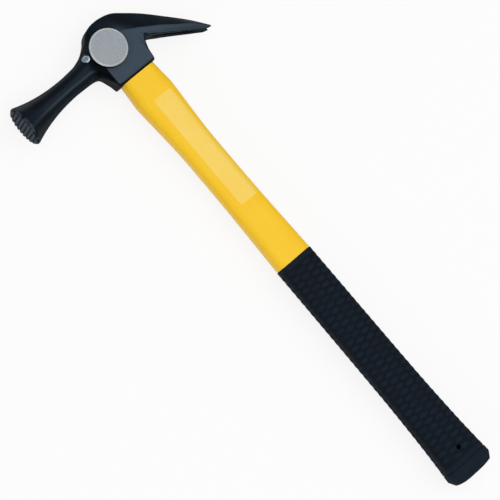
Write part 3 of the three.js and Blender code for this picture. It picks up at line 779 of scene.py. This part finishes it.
def buildHead(lines, paint, steel):
    piece = headForging(lines)
    combine(piece, clawTrough(lines), "DIFFERENCE")
    combine(piece, bossBar(), "UNION")
    combine(piece, eyeFill("eyeHole", 0, -head["crownHeight"] - 1, socketDepth + 1), "DIFFERENCE")
    combine(piece, magnetBar("magnetBore", fitGap), "DIFFERENCE")
    combine(piece, nailSlot(lines), "DIFFERENCE")
    piece.data.materials.clear()
    piece.data.materials.append(paint)
    reach = head["faceReach"]
    runTree(piece, millingTree(), {
        "Rows": milling["rows"], "Pitch": milling["pitch"] * mm, "Depth": milling["depth"] * mm,
        "Half Width": (milling["pitch"] - milling["flat"]) / 2 * mm, "Cross Lift": milling["crossLift"] * mm,
        "Face Centre": (neckAxis(-reach) * mm, -reach * mm, midZ), "Material": paint})
    piece.data.materials.append(steel)
    ground = len(piece.data.materials) - 1
    rim, front = boss["span"] / 2 - boss["chamfer"], -boss["offset"] - boss["diameter"] / 2 - 1
    for face in piece.data.polygons:
        outside = abs(face.center.z - midZ) > rim * mm and face.center.y > front * mm
        if outside and abs(face.normal.z) > boss["groundTilt"]:
            face.material_index = ground
    smooth(piece)
    settle(piece, "hammer_head")


def buildMagnet(lines, material):
    # its ends follow the sides of the neck, a little below them
    piece = magnetBar("nailMagnet", 0)
    sides = headForging(lines)
    magnetY = (magnetLow.y + magnetHigh.y) / 2 / mm
    share = 1 - magnet["inset"] / lines["ridgeHalf"](magnetY)
    for point in sides.data.vertices:
        point.co.z = midZ + (point.co.z - midZ) * share
    combine(piece, sides, "INTERSECT")
    dress(piece, material)
    settle(piece, "nail_magnet")


def buildResin(lines, material):
    # its top follows the crown, a little below it
    piece = eyeFill("eyeResin", fitGap, -head["crownHeight"], socketDepth - fitGap)
    crown = headForging(lines)
    for point in crown.data.vertices:
        point.co.x += eye["resinInset"] * mm
    combine(piece, crown, "INTERSECT")
    combine(piece, coreBar(coreLow.x / mm - fitGap, socketDepth + 1), "DIFFERENCE")
    dress(piece, material)
    settle(piece, "eye_resin")


# handle: places from the bottom of the socket and from the mouth of the grip

handle = {"power": 3.5, "sides": 160, "tenonGap": 3.3, "tenonChamfer": 2, "hole": 3.6, "holeFromButt": 25.1,
          "holeLining": 0.8, "holeSides": 48, "buttWall": 6}
jacket = {
    "start": jacketLow.x / mm, "end": gripLow.x / mm - fitGap, "shoulder": (30.6, 20.5), "swellAt": 20,
    "swell": (33.5, 21.5), "waistFrom": 77, "waistTo": 103, "waist": (28.2, 19), "foot": (30.8, 22),
    "shoulderSteps": 10, "taperSteps": 100,
}
film = {"start": 23.5, "end": 127, "low": -6.2, "high": 11.2, "corner": 2, "lift": 0.1}
grip = {
    "start": gripLow.x / mm, "length": (gripHigh.x - gripLow.x) / mm, "sides": 144, "mouth": (31.4, 23),
    "middleAt": 120, "middle": (32.3, 24.2), "swell": 2, "butt": (38, 30.4), "dome": 2, "chamferRun": 5,
    "chamferInset": 2.9, "band": 12.7, "bandLift": 0.1, "groove": 1.2, "flare": 46, "mouthChamfer": 0.6,
    "edgeRun": 0.4, "chamferEase": 0.5, "bandSteps": 5, "outlinePoints": 480,
}
gripBars = {"pitch": 5.75, "columns": 12, "fromMouth": 4, "fromBand": 4, "width": 4.4, "length": 9.4,
            "rise": 0.3, "fieldSteps": 90}


def jacketSize(i):
    # width or thickness of the jacket at a distance from the bottom of the socket, with a crisp shoulder
    at, reveal = jacket["swellAt"], jacket["end"] - jacket["start"]
    taper = lineThrough([(at, jacket["swell"][i]), (jacket["waistFrom"], jacket["waist"][i]),
                         (jacket["waistTo"], jacket["waist"][i]), (reveal, jacket["foot"][i])])
    flare = between(jacket["shoulder"][i], jacket["swell"][i])
    return lambda d: flare(d / at) if d < at else taper(d)


def tenonSize():
    return [size - 2 * handle["tenonGap"] for size in grip["mouth"]]


def cordHole(extra, reach):
    butt, radius = grip["start"] + grip["length"], handle["hole"] / 2 + extra
    centre = butt - handle["holeFromButt"], 0
    return turnedObject("cordHole", [(radius, -reach), (radius, reach)], centre, handle["holeSides"])


def buildJacket(material):
    reveal = jacket["end"] - jacket["start"]
    width, thickness = jacketSize(0), jacketSize(1)
    places = steps(0, jacket["swellAt"], jacket["shoulderSteps"])
    places += steps(jacket["swellAt"], reveal, jacket["taperSteps"]) + [reveal]
    stations = [(jacket["start"] + d, width(d), thickness(d)) for d in places]
    tenonWidth, tenonThickness = tenonSize()
    tenonEnd = grip["start"] + grip["length"] - handle["buttWall"] - fitGap
    chamfer = handle["tenonChamfer"]
    stations += [(jacket["end"], tenonWidth, tenonThickness),
                 (tenonEnd - chamfer, tenonWidth, tenonThickness),
                 (tenonEnd, tenonWidth - 2 * chamfer, tenonThickness - 2 * chamfer)]
    piece = ovalLoft("handleJacket", stations, handle)
    combine(piece, coreBar(socketDepth, coreHigh.x / mm + fitGap), "DIFFERENCE")
    combine(piece, cordHole(handle["holeLining"] + fitGap, jacket["foot"][1]), "DIFFERENCE")
    dress(piece, material)
    settle(piece, "handle_jacket")


def buildFilm(material):
    # a bare clear film that lies on the upper flat of the jacket
    width, thickness = jacketSize(0), jacketSize(1)
    power, corner = handle["power"], film["corner"]
    long, across = 80, 24
    rings = []
    for d in [between(film["start"], film["end"])(i / long) for i in range(long + 1)]:
        near = min(d - film["start"], film["end"] - d)
        draw = corner - math.sqrt(max(corner ** 2 - max(corner - near, 0) ** 2, 0)) if near < corner else 0
        top, under = [], []
        for y in [between(film["low"] + draw, film["high"] - draw)(k / across) for k in range(across + 1)]:
            z = thickness(d) / 2 * (1 - abs(2 * y / width(d)) ** power) ** (1 / power)
            top.append((jacket["start"] + d, y, z + film["lift"]))
            under.append((jacket["start"] + d, y, z - film["lift"]))
        rings.append(top + under[::-1])
    piece = loftObject("labelFilm", rings)
    dress(piece, material)
    settle(piece, None)


def gripBarTree():
    # staggered lens-shaped bars over the skin that comes in, placed by its wrap map
    tree, given = makeTree("gripBars", {
        "Columns": "Int", "Rows": "Int", "Start": "Float", "Pitch": "Float", "Skin Length": "Float",
        "Width": "Float", "Length": "Float", "Rise": "Float", "Material": "Material"})
    count = product(tree, given["Columns"], given["Rows"])
    points = shapeNode(tree, "Points", {"Count": count})
    index = shapeNode(tree, "InputIndex")
    row = mathNode(tree, "FLOOR", mathNode(tree, "DIVIDE", index, given["Columns"]))
    column = mathNode(tree, "MODULO", index, given["Columns"])
    stagger = product(tree, mathNode(tree, "MODULO", column, 2.0), 0.5)
    along = mathNode(tree, "ADD", row, stagger)
    along = mathNode(tree, "MULTIPLY_ADD", along, given["Pitch"], given["Start"])
    where = vectorNode(tree, mathNode(tree, "DIVIDE", along, given["Skin Length"]),
                       mathNode(tree, "DIVIDE", mathNode(tree, "ADD", column, 0.5), given["Columns"]))
    wrap = shapeNode(tree, "InputNamedAttribute", {"Name": "wrap"}, data_type="FLOAT_VECTOR")
    onSkin = []
    for field in ("InputPosition", "InputNormal"):
        value = shapeNode(tree, field)
        onSkin.append(shapeNode(tree, "SampleUVSurface", {
            "Mesh": given["Geometry"], "Value": value, "UV Map": wrap, "Sample UV": where},
            data_type="FLOAT_VECTOR"))
    points = shapeNode(tree, "SetPosition", {"Geometry": points, "Position": onSkin[0]})
    turn = addNode(tree, "FunctionNodeAlignRotationToVector", {"Vector": onSkin[1]}, axis="Y")[0]
    turn = addNode(tree, "FunctionNodeAlignRotationToVector", {"Rotation": turn, "Vector": (1, 0, 0)},
                   axis="X", pivot_axis="Y")[0]
    ball = shapeNode(tree, "MeshUVSphere", {"Segments": 8, "Rings": 7, "Radius": 1})
    place = shapeNode(tree, "InputPosition")
    part = addNode(tree, "ShaderNodeSeparateXYZ", {0: place})
    waist = mathNode(tree, "SQRT", mathNode(tree, "MAXIMUM", mathNode(
        tree, "SUBTRACT", 1.0, product(tree, part[2], part[2])), 0.0))
    drawn = vectorNode(tree, product(tree, part[0], waist), product(tree, part[1], waist), part[2])
    lens = shapeNode(tree, "StoreNamedAttribute", {
        "Geometry": ball, "Name": "raised", "Value": part[1]}, data_type="FLOAT", domain="POINT")
    lens = shapeNode(tree, "SetPosition", {"Geometry": lens, "Position": drawn})
    size = vectorNode(tree, product(tree, given["Width"], 0.5), given["Rise"],
                      product(tree, given["Length"], 0.5))
    bars = shapeNode(tree, "InstanceOnPoints", {
        "Points": points, "Instance": lens, "Rotation": turn, "Scale": size})
    bars = shapeNode(tree, "RealizeInstances", {0: bars})
    # each bar is bent onto the skin, so that none stands off where the skin turns
    nearest = shapeNode(tree, "Proximity", {0: given["Geometry"]}, target_element="FACES")
    normal = shapeNode(tree, "InputNormal")
    outward = shapeNode(tree, "SampleNearestSurface", {
        "Mesh": given["Geometry"], "Value": normal}, data_type="FLOAT_VECTOR")
    raised = shapeNode(tree, "InputNamedAttribute", {"Name": "raised"}, data_type="FLOAT")
    height = product(tree, raised, given["Rise"])
    bent = addNode(tree, "ShaderNodeVectorMath", {0: outward, 1: height, 2: nearest},
                   operation="MULTIPLY_ADD")[0]
    bars = shapeNode(tree, "SetPosition", {"Geometry": bars, "Position": bent})
    endTree(tree, bars, given["Material"])
    return tree


def gripSizes():
    length = grip["length"]
    chamferStart = length - grip["dome"] - grip["chamferRun"]
    return [lineThrough([(0, grip["mouth"][i]), (grip["middleAt"], grip["middle"][i]),
                         (length - grip["flare"], grip["middle"][i] + grip["swell"]),
                         (chamferStart, grip["butt"][i])])
            for i in (0, 1)]


def gripRing(sizes, d, less):
    width, thickness = (size(d) - 2 * less for size in sizes)
    outline = ovalRing(grip["start"] + d, width, thickness, handle["power"], grip["outlinePoints"])
    return evenRing(outline, grip["sides"])


def gripSleeve(sizes, barsStart, barsEnd):
    # smooth lip, sunk field for the bars, groove, smooth band, chamfer and domed butt
    length, groove, inset, lip = grip["length"], grip["groove"], grip["chamferInset"], grip["mouthChamfer"]
    bandStart, domeStart = length - grip["band"], length - grip["dome"]
    chamferStart = domeStart - grip["chamferRun"]
    sunk, edge, ease, lift = gripBars["rise"] / 2, grip["edgeRun"], grip["chamferEase"], grip["bandLift"]
    stations = [(0, lip), (lip * 0.3, lip * 0.3), (lip, 0), (barsStart - edge, 0), (barsStart, sunk)]
    stations += [(d, sunk) for d in steps(barsStart, barsEnd, gripBars["fieldSteps"])[1:]]
    stations += [(barsEnd, sunk), (barsEnd + edge, 0), (bandStart - groove, 0)]
    stations += [(bandStart - groove * 0.8, groove * 0.4), (bandStart - groove * 0.2, groove * 0.4),
                 (bandStart, 0), (bandStart + groove * 0.2, -lift)]
    bandEnd = chamferStart - 2 * edge
    stations += [(d, -lift) for d in steps(bandStart + groove * 0.4, bandEnd, grip["bandSteps"])]
    stations += [(bandEnd, -lift), (chamferStart - edge / 2, 0), (chamferStart + ease, inset * 0.12),
                 (domeStart - ease, inset * 0.9), (domeStart, inset)]
    domeHalf = grip["butt"][1] / 2 - inset
    for share in (0.96, 0.88, 0.76, 0.62, 0.48, 0.34, 0.2, 0.08):
        stations.append((length - grip["dome"] * share ** 2, inset + domeHalf * (1 - share)))
    return loftObject("rubberGrip", [gripRing(sizes, d, less) for d, less in stations])


def buildGrip(material):
    length, pitch = grip["length"], gripBars["pitch"]
    sizes = gripSizes()
    barsStart = gripBars["fromMouth"]
    barsEnd = length - grip["band"] - grip["groove"] - gripBars["fromBand"]
    field = barsEnd - barsStart
    sunk = gripBars["rise"] / 2
    places = steps(barsStart, barsEnd, gripBars["fieldSteps"]) + [barsEnd]
    skin = loftObject("gripSkin", [gripRing(sizes, d, sunk) for d in places])
    rows = int(field / pitch)
    runTree(skin, gripBarTree(), {
        "Columns": gripBars["columns"], "Rows": rows, "Pitch": pitch * mm,
        "Start": (field - (rows - 0.5) * pitch) / 2 * mm, "Skin Length": field * mm,
        "Width": gripBars["width"] * mm, "Length": gripBars["length"] * mm, "Rise": gripBars["rise"] * mm,
        "Material": material})
    through = grip["butt"][1]
    combine(skin, cordHole(0, through), "DIFFERENCE")
    piece = gripSleeve(sizes, barsStart, barsEnd)
    bore = [size + 2 * fitGap for size in tenonSize()]
    boreEnd = grip["start"] + length - handle["buttWall"]
    inside = ovalLoft("gripBore", [(x, *bore) for x in (grip["start"] - 1, boreEnd)], handle)
    combine(piece, inside, "DIFFERENCE")
    lining = cordHole(handle["holeLining"], grip["middle"][1] / 2 - 2)     # the rubber lines the hole
    combine(piece, lining, "UNION")
    combine(piece, cordHole(0, through), "DIFFERENCE")
    raised = piece.data.attributes.new("raised", "FLOAT", "POINT")
    for mark, point in zip(raised.data, piece.data.vertices):
        mark.value = 0 if barsStart <= point.co.x / mm - grip["start"] <= barsEnd else 1
    rework(piece.data, lambda work: work.from_mesh(skin.data))     # the bars join the sleeve's mesh
    bpy.data.objects.remove(skin)
    dress(piece, material, degrees=32)
    settle(piece, "rubber_grip")


# camera and studio

view = {"aim": (185.656, -21.152), "tilt": 15.922, "lean": -0.847, "roll": 50.682, "distance": 2000,
        "focal": 2633.56, "framePixels": 500}


def buildCamera():
    lean, tilt, roll = (math.radians(view[key]) for key in ("lean", "tilt", "roll"))
    towards = Vector((math.tan(lean), -math.tan(tilt), 1)).normalized()
    level = Vector((math.cos(roll), math.sin(roll), 0))
    right = (level - towards * level.dot(towards)).normalized()
    up = towards.cross(right)
    aim = Vector((view["aim"][0] * mm, view["aim"][1] * mm, midZ))
    data = bpy.data.cameras.new("camera")
    data.lens = view["focal"] * data.sensor_width / view["framePixels"]
    camera = bpy.data.objects.new("camera", data)
    place = Matrix((right, up, towards)).transposed().to_4x4()
    place.translation = aim + towards * view["distance"] * mm
    camera.matrix_world = place
    scene.collection.objects.link(camera)
    scene.camera = camera


studio = {"worldStrength": 0.35, "floorSize": 30.0, "floorColour": (0.86, 0.86, 0.86, 1), "floorWhite": 0.85,
          "floorRoughness": 0.9, "floorDrop": 0.0003}
lamps = {
    "overhead": {"place": (0.7, 0.6, 2.4), "aim": (0.7, 0.6, 0), "size": (3.4, 3.6), "radiance": 1.5},
    "fill": {"place": (0.3, -2.2, 1.3), "aim": (0.2, 0, 0), "size": (2.6, 1.2), "radiance": 1.2},
}


def softbox(name, setting):
    data = bpy.data.lights.new(name, "AREA")
    data.shape = "RECTANGLE"
    data.size, data.size_y = setting["size"]
    data.energy = setting["radiance"] * math.pi * data.size * data.size_y
    lamp = bpy.data.objects.new(name, data)
    lamp.location = setting["place"]
    beam = Vector(setting["aim"]) - Vector(setting["place"])
    lamp.rotation_euler = beam.to_track_quat("-Z", "Y").to_euler()
    scene.collection.objects.link(lamp)


def floorMaterial():
    # a matt pale floor that looks white in the frame and in reflections, and still takes the shadow
    material, tree, place = makeMaterial("paleFloor")
    feedShader(material, {"Base Color": studio["floorColour"], "Roughness": studio["floorRoughness"]})
    matt = tree.nodes["Principled BSDF"].outputs[0]
    ray = addNode(tree, "ShaderNodeLightPath")
    seen = mathNode(tree, "MAXIMUM", ray["Is Camera Ray"], mathNode(
        tree, "MAXIMUM", ray["Is Glossy Ray"], ray["Is Transmission Ray"]))
    white = addNode(tree, "ShaderNodeEmission", {"Color": (1, 1, 1, 1), "Strength": 1.0})[0]
    mixed = addNode(tree, "ShaderNodeMixShader", {
        0: product(tree, seen, studio["floorWhite"]), 1: matt, 2: white})[0]
    tree.links.new(mixed, tree.nodes["Material Output"].inputs["Surface"])
    return material


def buildStudio():
    world = bpy.data.worlds.new("studio")
    scene.world = world
    world.use_nodes = True
    ambient = world.node_tree.nodes["Background"]
    ambient.inputs["Color"].default_value = (1, 1, 1, 1)
    ambient.inputs["Strength"].default_value = studio["worldStrength"]
    half, low = studio["floorSize"] / 2, cadBounds[0][2] - studio["floorDrop"]
    mesh = bpy.data.meshes.new("floor")
    corners = [(-half, -half, low), (half, -half, low), (half, half, low), (-half, half, low)]
    mesh.from_pydata(corners, [], [(0, 1, 2, 3)])
    mesh.materials.append(floorMaterial())
    objectFrom("floor", mesh)
    for name, setting in lamps.items():
        softbox(name, setting)


buildCamera()
buildStudio()
print("camera and studio set")
lines = headLines()
buildHead(lines, blackPaint(), groundSteel())
buildMagnet(lines, platedMagnet())
buildResin(lines, castResin())
buildJacket(yellowPlastic())
buildFilm(clearFilm())
buildGrip(gripRubber())
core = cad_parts["handle_core"]
core.data.materials.clear()
core.data.materials.append(glassFibre())
print("materials set")
